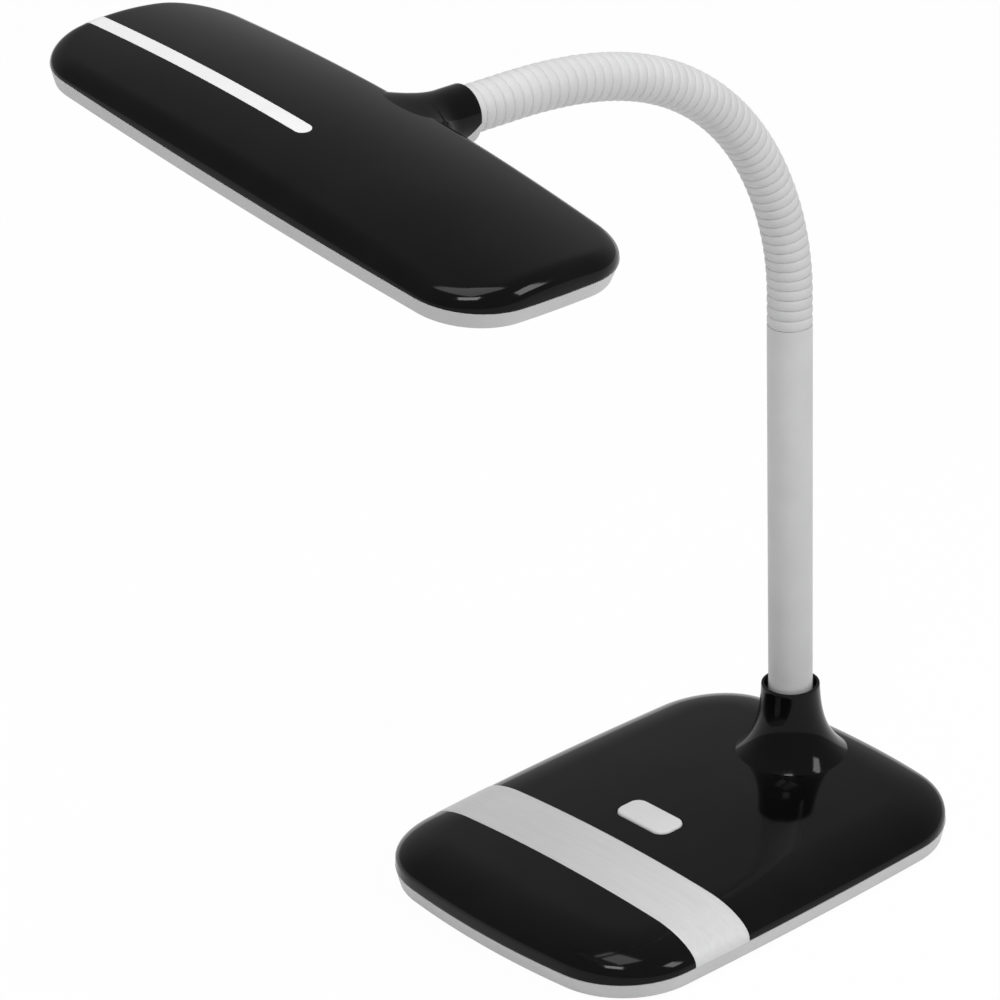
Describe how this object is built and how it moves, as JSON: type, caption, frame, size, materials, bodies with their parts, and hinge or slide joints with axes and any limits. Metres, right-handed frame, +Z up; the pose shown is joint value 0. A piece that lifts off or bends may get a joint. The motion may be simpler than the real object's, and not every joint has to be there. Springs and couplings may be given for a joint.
{
  "type": "gooseneck desk lamp",
  "caption": "Desk lamp with a flat rounded base, a push button, a bendable ribbed gooseneck and a long flat light bar with a diffuser underneath.",
  "frame": {"origin": "centre of the base's footprint, on the surface the lamp stands on", "axes": "+Z up, -Y towards the user (the head reaches that way), X along the light bar"},
  "size_m": [0.2141, 0.2719, 0.3319],
  "materials": {
    "gloss_black": "high gloss moulded",
    "silver_plastic": "satin silver-grey moulded",
    "brushed_silver": "satin silver with a fine brushed grain",
    "button_silver": "satin silver",
    "silver_paint": "satin silver paint",
    "silver_sleeve": "satin silver, ribbed",
    "wound_steel": "bare steel",
    "steel": "bright steel",
    "bright_pin": "plated",
    "ballast_iron": "bare plate",
    "black_rubber": "matt",
    "matte_black": "matt moulded",
    "circuit_board": "lacquered board",
    "white_board": "white lacquered board",
    "frosted_white": "frosted, lets light through",
    "aluminium_plate": "bare sheet",
    "light_chip": "resin"
  },
  "bodies": {
    "base": {"rubber_foot_ring": "black_rubber", "base_bottom_tray": "silver_plastic", "base_top_shell": "gloss_black", "base_accent_band": "brushed_silver", "power_inlet": "matte_black", "power_inlet_pin": "bright_pin", "tray_screws": "steel", "ballast_plate": "ballast_iron", "ballast_screws": "steel", "control_board": "circuit_board", "board_screws": "steel", "board_parts": "matte_black", "switch_housing": "matte_black", "stem_tube": "silver_paint", "neck_sleeve_00": "silver_sleeve", "neck_core_00": "wound_steel", "neck_threaded_foot": "steel", "foot_washer": "steel", "foot_nut": "steel"},
    "link_01": {"neck_sleeve_01": "silver_sleeve", "neck_core_01": "wound_steel"},
    "link_02": {"neck_sleeve_02": "silver_sleeve", "neck_core_02": "wound_steel"},
    "link_03": {"neck_sleeve_03": "silver_sleeve", "neck_core_03": "wound_steel"},
    "link_04": {"neck_sleeve_04": "silver_sleeve", "neck_core_04": "wound_steel"},
    "link_05": {"neck_sleeve_05": "silver_sleeve", "neck_core_05": "wound_steel"},
    "link_06": {"neck_sleeve_06": "silver_sleeve", "neck_core_06": "wound_steel"},
    "link_07": {"neck_sleeve_07": "silver_sleeve", "neck_core_07": "wound_steel"},
    "link_08": {"neck_sleeve_08": "silver_sleeve", "neck_core_08": "wound_steel"},
    "link_09": {"neck_sleeve_09": "silver_sleeve", "neck_core_09": "wound_steel"},
    "link_10": {"neck_sleeve_10": "silver_sleeve", "neck_core_10": "wound_steel"},
    "link_11": {"neck_sleeve_11": "silver_sleeve", "neck_core_11": "wound_steel"},
    "link_12": {"neck_sleeve_12": "silver_sleeve", "neck_core_12": "wound_steel"},
    "head": {"neck_sleeve_13": "silver_sleeve", "neck_core_13": "wound_steel", "head_top_shell": "gloss_black", "head_accent_strip": "button_silver", "head_bottom_frame": "silver_plastic", "diffuser": "frosted_white", "head_screws": "steel", "heat_plate": "aluminium_plate", "heat_plate_screws": "steel", "light_board": "white_board", "light_chips": "light_chip"},
    "button": {"power_button": "button_silver", "switch_plunger": "matte_black"}
  },
  "joints": [
    {"name": "lower_bend", "type": "hinge", "parent": "base", "child": "link_01", "pos_m": [0, 0.0601, 0.19987], "axis": [1, 0, 0], "range_deg": [-9.5, 5]},
    {"name": "lower_bend_2", "type": "hinge", "parent": "link_01", "child": "link_02", "pos_m": [0, 0.05886, 0.21537], "axis": [1, 0, 0], "range_deg": [-9.5, 5]},
    {"name": "side_bend", "type": "hinge", "parent": "link_02", "child": "link_03", "pos_m": [0, 0.05529, 0.23051], "axis": [0, 0.9542, 0.2992], "range_deg": [-7.5, 7.5]},
    {"name": "lower_bend_3", "type": "hinge", "parent": "link_03", "child": "link_04", "pos_m": [0, 0.04963, 0.24499], "axis": [1, 0, 0], "range_deg": [-9.5, 5]},
    {"name": "lower_bend_4", "type": "hinge", "parent": "link_04", "child": "link_05", "pos_m": [0, 0.04202, 0.25855], "axis": [1, 0, 0], "range_deg": [-9.5, 5]},
    {"name": "side_bend_2", "type": "hinge", "parent": "link_05", "child": "link_06", "pos_m": [0, 0.0325, 0.27085], "axis": [0, 0.7409, 0.6717], "range_deg": [-7.5, 7.5]},
    {"name": "lower_bend_5", "type": "hinge", "parent": "link_06", "child": "link_07", "pos_m": [0, 0.02118, 0.28151], "axis": [1, 0, 0], "range_deg": [-9.5, 5]},
    {"name": "upper_bend", "type": "hinge", "parent": "link_07", "child": "link_08", "pos_m": [0, 0.00838, 0.29033], "axis": [1, 0, 0], "range_deg": [-9.5, 5]},
    {"name": "side_bend_3", "type": "hinge", "parent": "link_08", "child": "link_09", "pos_m": [0, -0.00557, 0.2972], "axis": [0, 0.378, 0.9258], "range_deg": [-7.5, 7.5]},
    {"name": "upper_bend_2", "type": "hinge", "parent": "link_09", "child": "link_10", "pos_m": [0, -0.02031, 0.30216], "axis": [1, 0, 0], "range_deg": [-9.5, 5]},
    {"name": "upper_bend_3", "type": "hinge", "parent": "link_10", "child": "link_11", "pos_m": [0, -0.03552, 0.30544], "axis": [1, 0, 0], "range_deg": [-9.5, 5]},
    {"name": "side_bend_4", "type": "hinge", "parent": "link_11", "child": "link_12", "pos_m": [0, -0.05097, 0.30734], "axis": [0, 0.0845, 0.9964], "range_deg": [-7.5, 7.5]},
    {"name": "upper_bend_4", "type": "hinge", "parent": "link_12", "child": "head", "pos_m": [0, -0.0665, 0.30818], "axis": [1, 0, 0], "range_deg": [-9.5, 5]},
    {"name": "button_press", "type": "slide", "parent": "base", "child": "button", "axis": [0, 0, -1], "range_m": [0, 0.0005], "stiffness_N_per_m": 2500, "springref_m": -0.0004}
  ],
  "couplings": [
    {"joint": "lower_bend_2", "follows": "lower_bend", "ratio": 1},
    {"joint": "lower_bend_3", "follows": "lower_bend", "ratio": 1},
    {"joint": "lower_bend_4", "follows": "lower_bend", "ratio": 1},
    {"joint": "side_bend_2", "follows": "side_bend", "ratio": 1},
    {"joint": "lower_bend_5", "follows": "lower_bend", "ratio": 1},
    {"joint": "side_bend_3", "follows": "side_bend", "ratio": 1},
    {"joint": "upper_bend_2", "follows": "upper_bend", "ratio": 1},
    {"joint": "upper_bend_3", "follows": "upper_bend", "ratio": 1},
    {"joint": "side_bend_4", "follows": "side_bend", "ratio": 1},
    {"joint": "upper_bend_4", "follows": "upper_bend", "ratio": 1}
  ]
}
